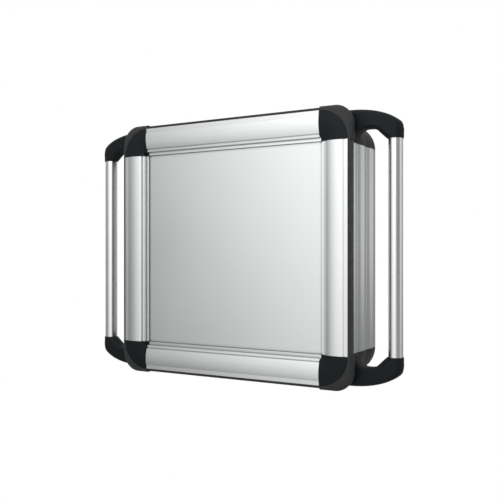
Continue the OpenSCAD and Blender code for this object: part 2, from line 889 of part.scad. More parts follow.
placed() at_latch(1) latch_rotor();  // latch_rotor_upper
placed() at_latch(-1) latch_rotor();  // latch_rotor_lower
placed() at_latch(1) latch_cam();  // latch_cam_upper
placed() at_latch(-1) latch_cam();  // latch_cam_lower
placed() at_latch(1) latch_nuts();  // latch_nuts_upper
placed() at_latch(-1) latch_nuts();  // latch_nuts_lower
at() latch_keepers();
at() earth_stud();
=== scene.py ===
import math

import bmesh
import bpy
from mathutils import Matrix, Vector


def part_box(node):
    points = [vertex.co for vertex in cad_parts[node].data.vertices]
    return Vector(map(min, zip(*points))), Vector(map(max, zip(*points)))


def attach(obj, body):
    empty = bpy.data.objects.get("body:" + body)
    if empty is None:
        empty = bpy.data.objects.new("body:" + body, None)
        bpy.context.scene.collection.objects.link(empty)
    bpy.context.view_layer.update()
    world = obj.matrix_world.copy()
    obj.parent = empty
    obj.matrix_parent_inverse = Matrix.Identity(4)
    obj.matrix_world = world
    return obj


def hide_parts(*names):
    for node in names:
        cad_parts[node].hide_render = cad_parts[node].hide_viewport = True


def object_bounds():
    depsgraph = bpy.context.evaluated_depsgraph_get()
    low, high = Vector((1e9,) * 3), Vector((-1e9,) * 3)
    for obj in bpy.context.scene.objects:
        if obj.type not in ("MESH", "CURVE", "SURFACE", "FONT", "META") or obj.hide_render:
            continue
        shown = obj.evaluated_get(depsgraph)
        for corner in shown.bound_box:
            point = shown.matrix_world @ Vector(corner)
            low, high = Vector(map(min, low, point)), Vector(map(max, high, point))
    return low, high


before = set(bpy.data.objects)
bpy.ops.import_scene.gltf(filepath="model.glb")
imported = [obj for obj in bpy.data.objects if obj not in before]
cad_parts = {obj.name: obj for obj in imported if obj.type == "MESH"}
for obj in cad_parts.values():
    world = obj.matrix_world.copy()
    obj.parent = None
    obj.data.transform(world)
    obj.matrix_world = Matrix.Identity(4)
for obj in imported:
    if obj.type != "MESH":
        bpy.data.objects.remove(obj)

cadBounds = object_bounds()

# Outlines and sections are drawn in millimetres from the middle of the front frame's front edge,
# X right, Y back, Z up; addPiece turns them into metres in the frame's own place.
mm = 0.001
trimTop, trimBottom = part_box("edge_trim_top"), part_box("edge_trim_bottom")
frontMiddle = Vector((0, trimTop[0].y, (trimTop[1].z + trimBottom[0].z) / 2))


def extent(node):
    low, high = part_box(node)
    return (low - frontMiddle) / mm, (high - frontMiddle) / mm


# camera
cameraSettings = {
    "turn": 30.08,       # degrees to the right of straight ahead
    "distance": 1.4497,
    "aim": (0, 0.0864, -0.0099),   # from the frame's middle
    "lens": 52.28,
    "rise": 0.00716,
}


def makeCamera(s):
    camera = bpy.data.objects.new("camera", bpy.data.cameras.new("camera"))
    bpy.context.scene.collection.objects.link(camera)
    turn = math.radians(s["turn"])
    back = Vector((math.sin(turn), -math.cos(turn), 0))
    camera.location = frontMiddle + Vector(s["aim"]) + back * s["distance"]
    camera.rotation_euler = (-back).to_track_quat("-Z", "Y").to_euler()
    camera.data.lens = s["lens"]
    camera.data.sensor_width = 36
    camera.data.shift_y = s["rise"]
    camera.data.dof.use_dof = False
    bpy.context.scene.camera = camera


makeCamera(cameraSettings)
print("camera ready")


# shader expressions
class Flow:
    # one socket of a node tree; operators add Math nodes
    def __init__(self, kit, socket):
        self.kit = kit
        self.socket = socket

    def math(self, operation, first, second=None):
        sockets = {0: first} if second is None else {0: first, 1: second}
        return self.kit.node("Math", {"operation": operation}, sockets)

    def __add__(self, other):
        return self.math("ADD", self, other)

    __radd__ = __add__

    def __mul__(self, other):
        return self.math("MULTIPLY", self, other)

    __rmul__ = __mul__

    def __sub__(self, other):
        return self.math("SUBTRACT", self, other)

    def __rsub__(self, other):
        return self.math("SUBTRACT", other, self)

    def clamped(self):
        return self.math("MINIMUM", self.math("MAXIMUM", self, 0.0), 1.0)

    def between(self, low, high):
        # 0 below low, 1 above high, smooth in between
        return self.kit.node("MapRange", {"interpolation_type": "SMOOTHSTEP"},
                             {"Value": self, "From Min": low, "From Max": high})


class Kit:
    def __init__(self, tree):
        self.tree = tree
        tree.nodes.clear()

    def node(self, kind, settings=None, sockets=None, out=0):
        made = self.tree.nodes.new("ShaderNode" + kind)
        for key, value in (settings or {}).items():
            setattr(made, key, value)
        for key, value in (sockets or {}).items():
            if isinstance(value, Flow):
                self.tree.links.new(value.socket, made.inputs[key])
            elif isinstance(value, tuple) and made.inputs[key].type == "RGBA":
                made.inputs[key].default_value = (*value, 1)
            else:
                made.inputs[key].default_value = value
        return Flow(self, made.outputs[out]) if len(made.outputs) else None

    def blend(self, first, second, factor):
        # two colours
        return self.node("Mix", {"data_type": "RGBA"}, {0: factor, 6: first, 7: second}, out=2)

    def place(self, scale):
        # the piece's own coordinates in metres, times scale: one number, or one for each axis
        own = self.node("TexCoord", out="Object")
        each = scale if isinstance(scale, tuple) else (scale, scale, scale)
        return self.node("VectorMath", {"operation": "MULTIPLY"}, {0: own, 1: each})

    def noise(self, scale, detail=2.0, roughness=0.5):
        return self.node("TexNoise", {}, {"Vector": self.place(scale), "Scale": 1.0, "Detail": detail,
                                          "Roughness": roughness})

    def cells(self, scale):
        return self.node("TexVoronoi", {}, {"Vector": self.place(scale), "Scale": 1.0})

    def bump(self, height, strength, distance):
        return self.node("Bump", {}, {"Height": height, "Strength": strength, "Distance": distance})


def surface(name, build, fixed):
    # build(kit) gives the sockets that vary over the surface; fixed holds the rest
    material = bpy.data.materials.new(name)
    material.use_nodes = True
    kit = Kit(material.node_tree)
    sockets = dict(fixed)
    sockets.update(build(kit))
    shader = kit.node("BsdfPrincipled", {}, sockets)
    kit.node("OutputMaterial", {}, {"Surface": shader})
    return material


# studio
studioSettings = {
    "fill": 0.27,
    # lamps in the surroundings: (side, height, reach, core, power), the first four in degrees
    "lamps": [(103, 8, 24, 8, 0.60), (156, 4, 12.5, 3, 0.60),
              (-140, 10, 34, 12, 0.40), (-70, 5, 30, 8, 0.16)],
    "overhead": 0.7, "overheadFrom": 0.15, "overheadTo": 0.75,
    "floorGrey": 0.44,
    "floorDrop": 0.9,     # below the object, in metres
    "floorRadius": 4.5,
    # the graded diffuser in front, brighter to the right and to the top
    "wallAhead": 0.85, "wallLeft": -2.4, "wallRight": 0.82, "wallLow": -1.5, "wallHigh": 1.25,
    "wallDim": 0.30, "wallGain": 0.90, "gradeFrom": -1.26, "gradeTo": 0.12, "wallSlope": 0.62,
    "wallFade": 0.3,      # width of the soft right edge, in metres
}


def towards(side, height):
    # side 0 is straight in front, + to the right, in degrees
    a, e = math.radians(side), math.radians(height)
    return math.sin(a) * math.cos(e), -math.cos(a) * math.cos(e), math.sin(e)


def stagePiece(name, shape):
    mesh = bpy.data.meshes.new(name)
    shape.to_mesh(mesh)
    shape.free()
    piece = bpy.data.objects.new(name, mesh)
    bpy.context.scene.collection.objects.link(piece)
    return piece


def glowKit(piece):
    glow = bpy.data.materials.new(piece.name + "Glow")
    glow.use_nodes = True
    piece.data.materials.append(glow)
    return Kit(glow.node_tree)


def emit(kit, level):
    glow = kit.node("Emission", {}, {"Color": (1, 1, 1), "Strength": level})
    kit.node("OutputMaterial", {}, {"Surface": glow})


def whiteToCamera(kit, level):
    # looks plain white, and lights the object with level
    seen = kit.node("LightPath", out="Is Camera Ray")
    return seen + (1 - seen) * level


def makeStudio(s):
    scene = bpy.context.scene
    scene.view_settings.view_transform = "Standard"
    scene.view_settings.look = "None"
    scene.world = bpy.data.worlds.new("softStudio")
    scene.world.use_nodes = True
    kit = Kit(scene.world.node_tree)
    direction = kit.node("TexCoord", out="Generated")

    height = kit.node("SeparateXYZ", {}, {0: direction}, out="Z")
    glow = s["fill"] + height.between(s["overheadFrom"], s["overheadTo"]) * s["overhead"]
    for side, rise, reach, core, power in s["lamps"]:
        facing = kit.node("VectorMath", {"operation": "DOT_PRODUCT"},
                          {0: direction, 1: towards(side, rise)}, out="Value")
        glow = glow + facing.between(math.cos(math.radians(reach)), math.cos(math.radians(core))) * power
    sky = kit.node("Background", {}, {"Color": (1, 1, 1), "Strength": whiteToCamera(kit, glow)})
    kit.node("OutputWorld", {}, {"Surface": sky})

    # the floor: a large pale disc
    disc = bmesh.new()
    bmesh.ops.create_circle(disc, cap_ends=True, segments=128, radius=s["floorRadius"])
    floor = stagePiece("floor", disc)
    floor.location = (0, 0, cadBounds[0].z - s["floorDrop"])
    kit = glowKit(floor)
    emit(kit, whiteToCamera(kit, s["floorGrey"]))

    # the diffuser: lights the front, and isn't seen itself
    sheet = bmesh.new()
    corners = [(s["wallLeft"], s["wallLow"]), (s["wallRight"], s["wallLow"]),
               (s["wallRight"], s["wallHigh"]), (s["wallLeft"], s["wallHigh"])]
    sheet.faces.new([sheet.verts.new((x, 0, z)) for x, z in corners])
    wall = stagePiece("diffuser", sheet)
    wall.location = frontMiddle - Vector((0, s["wallAhead"], 0))
    wall.visible_camera = False
    kit = glowKit(wall)
    own = kit.node("TexCoord", out="Object")
    across = kit.node("SeparateXYZ", {}, {0: own}, out="X")
    up = kit.node("SeparateXYZ", {}, {0: own}, out="Z")
    grade = s["wallDim"] + across.between(s["gradeFrom"], s["gradeTo"]) * s["wallGain"]
    edge = (s["wallRight"] - across).between(0, s["wallFade"])
    emit(kit, grade * (1 + up * s["wallSlope"]) * edge + (1 - edge) * s["fill"])


makeStudio(studioSettings)
print("studio ready")


# materials
def scaled(tone, times, plus=0.0):
    return tuple(c * times + plus for c in tone)


def satinAluminium(name, along, tone, roughness, streak, paintedShadeRange=(0.45, 0.82)):
    # anodised extrusion: fine die lines run along it, with faint clouding of the satin; the last argument
    # sets the ambient-occlusion range over which its recesses get painted shade
    across = 3800.0
    lines = tuple(14.0 if i == along else across for i in range(3))
    drawn = tuple(3.0 if i == along else 420.0 for i in range(3))

    def build(kit):
        fine = kit.noise(lines, detail=3.0, roughness=0.7)
        broad = kit.noise(drawn, detail=2.0)
        cloud = kit.noise(9.0, detail=3.0)
        nick = kit.cells(70.0).between(0.035, 0.015) * kit.noise(31.0).between(0.6, 0.7)
        mask = (fine * 0.55 + broad * 0.45 - 0.5) * streak + (cloud - 0.5) * 0.5
        dark = scaled(tone, 0.93)
        light = tuple(min(1, c * 1.05) for c in tone)
        base = kit.blend(dark, light, (mask + 0.5).clamped())
        # painted shade: the base colour darkens where ambient occlusion finds other surfaces close by, in
        # narrow walls, grooves, creases and gaps between parts
        paintedShadeAO = kit.node("AmbientOcclusion", {"samples": 8}, {"Distance": 0.007}, out="AO")
        return {
            "Base Color": kit.blend(scaled(tone, 0.22), base, paintedShadeAO.between(*paintedShadeRange)),
            "Roughness": roughness + (fine - 0.5) * 0.10 + (cloud - 0.5) * 0.07 + nick * 0.12,
            "Normal": kit.bump(fine * 0.7 + broad * 0.5 - nick * 0.6, 0.10, 0.00006),
        }

    return surface(name, build, {"Metallic": 1.0})


capArc = 53.6   # radius of a corner cap's face, round the opening's corner


def beyondArc(kit):
    # 0 on a corner cap's face, 1 outside the arc that bounds it: the mask for the painted light on the cap's
    # rim
    corner = Vector((extent("frame_profile_right")[0].x, 0, extent("frame_profile_top")[0].z)) * mm
    away = kit.node("TexCoord", out="Object")
    steps = [("SUBTRACT", tuple(frontMiddle)), ("ABSOLUTE", None), ("SUBTRACT", tuple(corner)),
             ("MULTIPLY", (1, 0, 1))]
    for operation, value in steps:
        sockets = {0: away} if value is None else {0: away, 1: value}
        away = kit.node("VectorMath", {"operation": operation}, sockets)
    distance = kit.node("VectorMath", {"operation": "LENGTH"}, {0: away}, out="Value")
    return distance.between((capArc - 0.2) * mm, (capArc + 0.2) * mm)


def mouldedPlastic(name, tone, roughness, grain, gloss, paintedLitSideTone=None):
    # glass-filled moulding with a fine spark-eroded grain, rubbed a little lighter on its edges
    def build(kit):
        pits = kit.cells(grain)
        fine = kit.noise(grain * 1.9, detail=2.0)
        cloud = kit.noise(16.0, detail=4.0)
        edge = kit.node("NewGeometry", out="Pointiness").between(0.52, 0.60)
        worn = edge * kit.noise(95.0, detail=3.0).between(0.42, 0.66)
        lighter = scaled(tone, 2.3, 0.01)
        base = kit.blend(tone, scaled(tone, 1.35), cloud.between(0.3, 0.75))
        # painted light: outside the arc, where the cap falls away to the side, the tone is lighter, as if
        # more lit than the front
        if paintedLitSideTone:
            base = kit.blend(base, paintedLitSideTone, beyondArc(kit))
        return {
            "Base Color": kit.blend(base, lighter, worn * 0.35),
            "Roughness": roughness + (cloud - 0.5) * 0.12 + (fine - 0.5) * 0.12 - worn * 0.08,
            "Normal": kit.bump(pits * 0.6 + fine * 0.4, 0.22, 0.00012),
        }

    return surface(name, build, {"Specular IOR Level": gloss})


def powderCoat(name, tone, roughness, gloss):
    # sprayed coat on a casting: orange peel over a finer speckle
    def build(kit):
        peel = kit.noise(520.0, detail=1.0)
        speck = kit.noise(2300.0, detail=2.0)
        cloud = kit.noise(12.0, detail=3.0)
        edge = kit.node("NewGeometry", out="Pointiness").between(0.52, 0.62)
        base = kit.blend(tone, scaled(tone, 1.5), speck.between(0.45, 0.8))
        return {
            "Base Color": kit.blend(base, scaled(tone, 2.4), edge * 0.3),
            "Roughness": roughness + (cloud - 0.5) * 0.1 + (speck - 0.5) * 0.1,
            "Normal": kit.bump(peel * 0.7 + speck * 0.3, 0.25, 0.00015),
        }

    return surface(name, build, {"Specular IOR Level": gloss})


def softRubber(name, tone):
    def build(kit):
        dust = kit.noise(60.0, detail=5.0)
        skin = kit.noise(1600.0, detail=2.0)
        return {
            "Base Color": kit.blend(tone, scaled(tone, 2.2, 0.004), dust.between(0.5, 0.85)),
            "Roughness": 0.62 + (dust - 0.5) * 0.2,
            "Normal": kit.bump(skin, 0.3, 0.0001),
        }

    return surface(name, build, {"Specular IOR Level": 0.3})


def platedSteel(name, tone, roughness, spangle):
    # passivated zinc or plain turned steel: blotches of tone, fine scratches
    def build(kit):
        patch = kit.cells(spangle)
        cloud = kit.noise(45.0, detail=4.0)
        scratch = kit.noise((5200.0, 160.0, 900.0), detail=2.0)
        tint = tuple(c * k for c, k in zip(tone, (0.82, 0.84, 0.88)))
        mask = (patch * 0.5 + cloud * 0.6).clamped()
        return {
            "Base Color": kit.blend(tone, tint, mask),
            "Roughness": roughness + (cloud - 0.5) * 0.18 + (scratch - 0.5) * 0.10,
            "Normal": kit.bump(scratch * 0.5 + patch * 0.3, 0.12, 0.00008),
        }

    return surface(name, build, {"Metallic": 1.0})


def makeMaterials():
    silver = (0.80, 0.81, 0.815)
    return {
        "frameUpright": satinAluminium("frameUpright", 2, silver, 0.30, 0.9),
        "frameLevel": satinAluminium("frameLevel", 0, silver, 0.30, 0.9),
        "tubeSatin": satinAluminium("tubeSatin", 2, (0.84, 0.845, 0.85), 0.26, 0.8),
        "housingUpright": satinAluminium("housingUpright", 2, (0.66, 0.67, 0.675), 0.24, 0.8),
        "housingLevel": satinAluminium("housingLevel", 0, (0.66, 0.67, 0.675), 0.24, 0.8),
        # the panel's last two numbers start its painted shade at lighter occlusion, so its edge by the rib
        # and gasket reads darker
        "panelSatin": satinAluminium("panelSatin", 2, (0.80, 0.815, 0.815), 0.34, 0.45, (0.60, 0.96)),
        "doorSatin": satinAluminium("doorSatin", 2, (0.72, 0.73, 0.735), 0.38, 0.8),
        "railSatin": satinAluminium("railSatin", 0, (0.62, 0.63, 0.64), 0.36, 1.0),
        # the caps' last tone is painted light on their rims outside the arc
        "capPlastic": mouldedPlastic("capPlastic", (0.0068, 0.0096, 0.0112), 0.52, 900.0, 0.16,
                                     (0.0410, 0.0408, 0.0408)),
        "armCoat": powderCoat("armCoat", (0.0072, 0.0100, 0.0115), 0.54, 0.17),
        "cornerCoat": powderCoat("cornerCoat", (0.0105, 0.0125, 0.0138), 0.50, 0.26),
        "flangeCoat": powderCoat("flangeCoat", (0.0135, 0.0155, 0.0170), 0.46, 0.40),
        "trimPlastic": mouldedPlastic("trimPlastic", (0.012, 0.0125, 0.0130), 0.46, 1300.0, 0.40),
        "latchCoat": powderCoat("latchCoat", (0.022, 0.024, 0.026), 0.42, 0.45),
        "sealRubber": softRubber("sealRubber", (0.008, 0.008, 0.0085)),
        "zincSteel": platedSteel("zincSteel", (0.56, 0.58, 0.60), 0.38, 130.0),
        "brightSteel": platedSteel("brightSteel", (0.66, 0.665, 0.67), 0.27, 60.0),
        "screwSteel": platedSteel("screwSteel", (0.60, 0.60, 0.60), 0.24, 200.0),
        "blackSteel": platedSteel("blackSteel", (0.060, 0.060, 0.065), 0.36, 220.0),
        "earthBrass": platedSteel("earthBrass", (0.78, 0.58, 0.25), 0.30, 90.0),
    }


finish = makeMaterials()
print("materials ready:", len(finish))


# drawing tools
mergeWithin = 0.0005   # millimetres
sharpAngle = 38        # degrees between faces from which an edge stays sharp
overcut = 5            # millimetres that a cutter runs past what it cuts


def arc(cx, cy, radius, start, end, steps):
    angles = [math.radians(start + (end - start) * i / steps) for i in range(steps + 1)]
    return [(cx + radius * math.cos(a), cy + radius * math.sin(a)) for a in angles]


def circle(cx, cy, radius, steps=64):
    return arc(cx, cy, radius, 0, 360, steps)[:-1]


def softOutline(corners, steps=5):
    # corners are (x, y) or (x, y, radius)
    points = []
    for i, corner in enumerate(corners):
        here = Vector(corner[:2])
        radius = corner[2] if len(corner) > 2 else 0
        if not radius:
            points.append(tuple(here))
            continue
        before = (Vector(corners[i - 1][:2]) - here).normalized()
        after = (Vector(corners[(i + 1) % len(corners)][:2]) - here).normalized()
        half = before.angle(after) / 2
        centre = here + (before + after).normalized() * radius / math.sin(half)
        first = here + before * radius / math.tan(half) - centre
        last = here + after * radius / math.tan(half) - centre
        start = math.atan2(first.y, first.x)
        sweep = (math.atan2(last.y, last.x) - start + math.pi) % (2 * math.pi) - math.pi
        for k in range(steps + 1):
            a = start + sweep * k / steps
            points.append((centre.x + radius * math.cos(a), centre.y + radius * math.sin(a)))
    return points


def roundedBox(halfX, halfZ, radius, steps=16):
    return softOutline([(halfX, -halfZ, radius), (halfX, halfZ, radius),
                        (-halfX, halfZ, radius), (-halfX, -halfZ, radius)], steps)


def throughPoints(points, steps):
    # a smooth curve through the points, Catmull-Rom
    ends = [Vector(points[0]) * 2 - Vector(points[1])] + [Vector(p) for p in points]
    ends.append(Vector(points[-1]) * 2 - Vector(points[-2]))
    curve = []
    for a, b, c, d in zip(ends, ends[1:], ends[2:], ends[3:]):
        for k in range(steps):
            t = k / steps
            curve.append(0.5 * (2 * b + (c - a) * t + (2 * a - 5 * b + 4 * c - d) * t * t
                                + (3 * b - 3 * c + d - a) * t ** 3))
    curve.append(ends[-2])
    return curve


def evaluated(source):
    graph = bpy.context.evaluated_depsgraph_get()
    graph.update()
    return bpy.data.meshes.new_from_object(source.evaluated_get(graph), depsgraph=graph)


def extruded(loops, depth, soften=0.0, steps=2):
    # a flat shape with holes, drawn in x and y, from z = 0 to depth, its rims rounded by soften
    curve = bpy.data.curves.new("outline", "CURVE")
    curve.dimensions = "2D"
    curve.fill_mode = "BOTH"
    for loop in loops:
        spline = curve.splines.new("POLY")
        spline.points.add(len(loop) - 1)
        for point, (x, y) in zip(spline.points, loop):
            point.co = (x, y, 0, 1)
        spline.use_cyclic_u = True
    curve.extrude = depth / 2 - soften
    if soften:
        curve.bevel_depth = soften
        curve.bevel_resolution = steps
        curve.offset = -soften
    holder = bpy.data.objects.new("outline", curve)
    bpy.context.scene.collection.objects.link(holder)
    mesh = evaluated(holder)
    bpy.data.objects.remove(holder)
    bpy.data.curves.remove(curve)
    mesh.transform(Matrix.Translation((0, 0, depth / 2)))
    return mesh


def fromRings(rings):
    # rings of equal length joined by faces, with the first and the last filled in
    mesh = bpy.data.meshes.new("rings")
    shell = bmesh.new()
    rows = [[shell.verts.new(p) for p in ring] for ring in rings]
    for first, second in zip(rows, rows[1:]):
        for i in range(len(first)):
            j = (i + 1) % len(first)
            shell.faces.new((first[i], first[j], second[j], second[i]))
    shell.faces.new(rows[0])
    shell.faces.new(rows[-1])
    shell.to_mesh(mesh)
    shell.free()
    return mesh


def cut(mesh, cutters):
    # takes each cutter mesh out of mesh
    body = bpy.data.objects.new("cutBody", mesh)
    bpy.context.scene.collection.objects.link(body)
    tools = []
    for tool in cutters:
        holder = bpy.data.objects.new("cutTool", tool)
        bpy.context.scene.collection.objects.link(holder)
        modifier = body.modifiers.new("cut", "BOOLEAN")
        modifier.operation = "DIFFERENCE"
        modifier.solver = "EXACT"
        modifier.object = holder
        tools.append(holder)
    result = evaluated(body)
    for holder in [body] + tools:
        bpy.data.objects.remove(holder)
    return result


def block(low, high):
    mesh = extruded([[(low[0], low[1]), (high[0], low[1]), (high[0], high[1]), (low[0], high[1])]],
                    high[2] - low[2])
    mesh.transform(Matrix.Translation((0, 0, low[2])))
    return cleaned(mesh)


def post(x, y, low, high, radius, steps=64):
    mesh = extruded([circle(x, y, radius, steps)], high - low)
    mesh.transform(Matrix.Translation((0, 0, low)))
    return cleaned(mesh)


def cleaned(mesh):
    work = bmesh.new()
    work.from_mesh(mesh)
    bmesh.ops.remove_doubles(work, verts=work.verts, dist=mergeWithin)
    bmesh.ops.recalc_face_normals(work, faces=work.faces)
    work.to_mesh(mesh)
    work.free()
    return mesh


# where a drawing's x, y and z go in the frame
def uprightRun(x, y, half):
    return Matrix(((1, 0, 0, x), (0, 1, 0, y), (0, 0, 1, -half), (0, 0, 0, 1)))


def levelRun(z, y, half):
    return Matrix(((0, 0, 1, -half), (0, 1, 0, y), (1, 0, 0, z), (0, 0, 0, 1)))


def facingPlate(y):
    return Matrix(((1, 0, 0, 0), (0, 0, 1, y), (0, 1, 0, 0), (0, 0, 0, 1)))


def smoothShade(mesh, sharp):
    for face in mesh.polygons:
        face.use_smooth = True
    mesh.set_sharp_from_angle(angle=math.radians(sharp))


def evenNormals(piece):
    modifier = piece.modifiers.new("evenNormals", "WEIGHTED_NORMAL")
    modifier.keep_sharp = True
    modifier.weight = 80


def addPiece(name, mesh, placing, body, material, nodes, mirror=(1, 1),
             sharp=sharpAngle):
    cleaned(mesh)
    toFrame = Matrix.Translation(frontMiddle) @ Matrix.Diagonal((mm * mirror[0], mm, mm * mirror[1], 1))
    mesh.transform(toFrame @ placing)
    if (toFrame @ placing).determinant() < 0:
        mesh.flip_normals()
    smoothShade(mesh, sharp)
    mesh.materials.clear()
    mesh.materials.append(finish[material])
    piece = bpy.data.objects.new(name, mesh)
    bpy.context.scene.collection.objects.link(piece)
    evenNormals(piece)
    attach(piece, body)
    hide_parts(*nodes)


quarters = [("Top", "Right", "top_right", (1, 1)), ("Top", "Left", "top_left", (-1, 1)),
            ("Bottom", "Right", "bottom_right", (1, -1)), ("Bottom", "Left", "bottom_left", (-1, -1))]
sides = [("Right", "right", (1, 1)), ("Left", "left", (-1, 1))]
levels = [("Top", "top", (1, 1)), ("Bottom", "bottom", (1, -1))]

# front frame
profileRight, profileTop = extent("frame_profile_right"), extent("frame_profile_top")
openX, openZ = profileRight[0].x, profileTop[0].z
capX, capZ = profileTop[1].x, profileRight[1].z
frameBack = profileRight[1].y
faceWide = profileRight[1].x - openX

frameSettings = {
    "ribWide": 6.5, "ribFront": 7.8, "ribBack": 9.6, "pocketWide": 6.2,
    "bandInner": 1.6, "bandTo": 11, "bandOuter": 0.8,
    "creaseTo": 12.3, "creaseFloor": 1.1,   # 0.5 shallower than in CAD
    "bulgeMiddle": 33, "bulgeRadius": 65, "bulgeCrest": -4.2,
    "lipFrom": 45, "lipFront": -2.2,
    "wall": 3, "chamberFrom": 18.5, "chamberTo": 50.2, "chamberBack": 12.5,
}


def bulgeFront(across, s, inset=0.0):
    # depth of the bulge's face at a distance from the opening
    radius = s["bulgeRadius"] - inset
    return s["bulgeCrest"] + s["bulgeRadius"] - math.sqrt(radius ** 2 - (across - s["bulgeMiddle"]) ** 2)


def bulgeLine(start, end, s, inset=0.0, steps=40):
    places = [start + (end - start) * i / steps for i in range(steps + 1)]
    return [(a, bulgeFront(a, s, inset)) for a in places]


def frameSection(s, wide, back):
    lip = 0.7
    start = softOutline([
        (wide, back), (s["pocketWide"], back), (s["pocketWide"], s["ribBack"]), (0, s["ribBack"], 0.25),
        (0, s["ribFront"], 0.5), (s["ribWide"], s["ribFront"], 0.3), (s["ribWide"], s["bandInner"], 0.5),
        (s["bandTo"], s["bandOuter"], 0.35), (s["bandTo"], s["creaseFloor"], 0.3),
        (s["creaseTo"], s["creaseFloor"], 0.3), (s["creaseTo"], bulgeFront(s["creaseTo"], s) + lip),
    ])
    end = softOutline([
        (s["lipFrom"] - 3, bulgeFront(s["lipFrom"] - 3, s)), (s["lipFrom"], bulgeFront(s["lipFrom"], s), 0.3),
        (s["lipFrom"], s["lipFront"], 0.25), (wide, s["lipFront"], 0.3), (wide, 20),
    ])[1:-1]
    outer = start + bulgeLine(s["creaseTo"] + lip / 2, s["lipFrom"] - 0.8, s) + end
    chamber = [(s["chamberTo"], s["chamberBack"]), (s["chamberFrom"], s["chamberBack"])]
    chamber += bulgeLine(s["chamberFrom"], s["chamberTo"], s, s["wall"], 16)
    return [outer, chamber]


for word, low, mirror in sides:
    addPiece("frameProfile" + word, extruded(frameSection(frameSettings, faceWide, frameBack), 2 * capZ),
             uprightRun(openX, 0, capZ), "enclosure", "frameUpright",
             ["frame_profile_" + low], mirror)
for word, low, mirror in levels:
    addPiece("frameProfile" + word, extruded(frameSection(frameSettings, faceWide, frameBack), 2 * capX),
             levelRun(openZ, 0, capX), "enclosure", "frameLevel",
             ["frame_profile_" + low], mirror)

# edge trims
trimOutX = extent("edge_trim_right")[1].x
trimSettings = {"wide": trimOutX - openX - faceWide, "tongue": 2, "tongueFront": 8, "tongueBack": 10,
                "line": 2.3, "lineDeep": 0.35,
                "front": -1.2}   # further forward than in CAD


def trimSection(s, back):
    wide, line, deep = s["wide"], s["line"], s["lineDeep"]
    return softOutline([
        (0, s["front"], 0.2), (wide, s["front"], 0.4), (wide, line - deep), (wide - deep, line),
        (wide, line + deep), (wide, back, 0.8), (0, back), (0, s["tongueBack"]),
        (-s["tongue"], s["tongueBack"], 0.3), (-s["tongue"], s["tongueFront"], 0.3), (0, s["tongueFront"]),
    ])


for word, low, mirror in sides:
    addPiece("edgeTrim" + word, extruded([trimSection(trimSettings, frameBack)], 2 * capZ),
             uprightRun(openX + faceWide, 0, capZ), "enclosure", "trimPlastic",
             ["edge_trim_" + low], mirror)
for word, low, mirror in levels:
    addPiece("edgeTrim" + word, extruded([trimSection(trimSettings, frameBack)], 2 * capX),
             levelRun(openZ + faceWide, 0, capX), "enclosure", "trimPlastic",
             ["edge_trim_" + low], mirror)

# corner caps
capOuter = extent("frame_corner_top_right")[1]
capSettings = {
    # distance from the opening's corner, and depth of the cap's face there
    "face": [(0.6, 7.2), (6.4, 7.2), (7.5, 0.5), (9.5, -0.6), (14, -1.9), (20, -3.4), (27, -4.4),
             (33, -4.7), (39, -4.4), (45, -3.7), (52.9, -2.6)],
    "edge": capArc, "edgeDepth": -2, "edgeRound": 0.35,
    # the fall from the edge: its corner is drawn in, and eased most along the cap's diagonal
    "squareIn": Vector((-0.3, 0.2)), "slack": 0.3, "slackFall": 0.6, "slackShift": Vector((1.2, -1.0)),
    "shoulder": 6, "taper": 1.2,   # depth of the cap's full width, and how far it narrows to its back
    "outlineRadius": 35, "columns": 36, "fallSteps": 10,
    "lap": openX - capX, "pocket": 6.4, "pocketFront": 9.6,
}


def capOutlineReach(angle, outX, outZ, radius):
    # distance from the opening's corner to the cap's outline along a ray
    cosA, sinA = math.cos(angle), math.sin(angle)
    best = min(outX / cosA if cosA > 1e-6 else 1e9, outZ / sinA if sinA > 1e-6 else 1e9)
    cx, cz = outX - radius, outZ - radius
    along = cosA * cx + sinA * cz
    gap = along ** 2 - (cx ** 2 + cz ** 2 - radius ** 2)
    if gap > 0 and best * cosA > cx and best * sinA > cz:
        best = along + math.sqrt(gap)
    return best


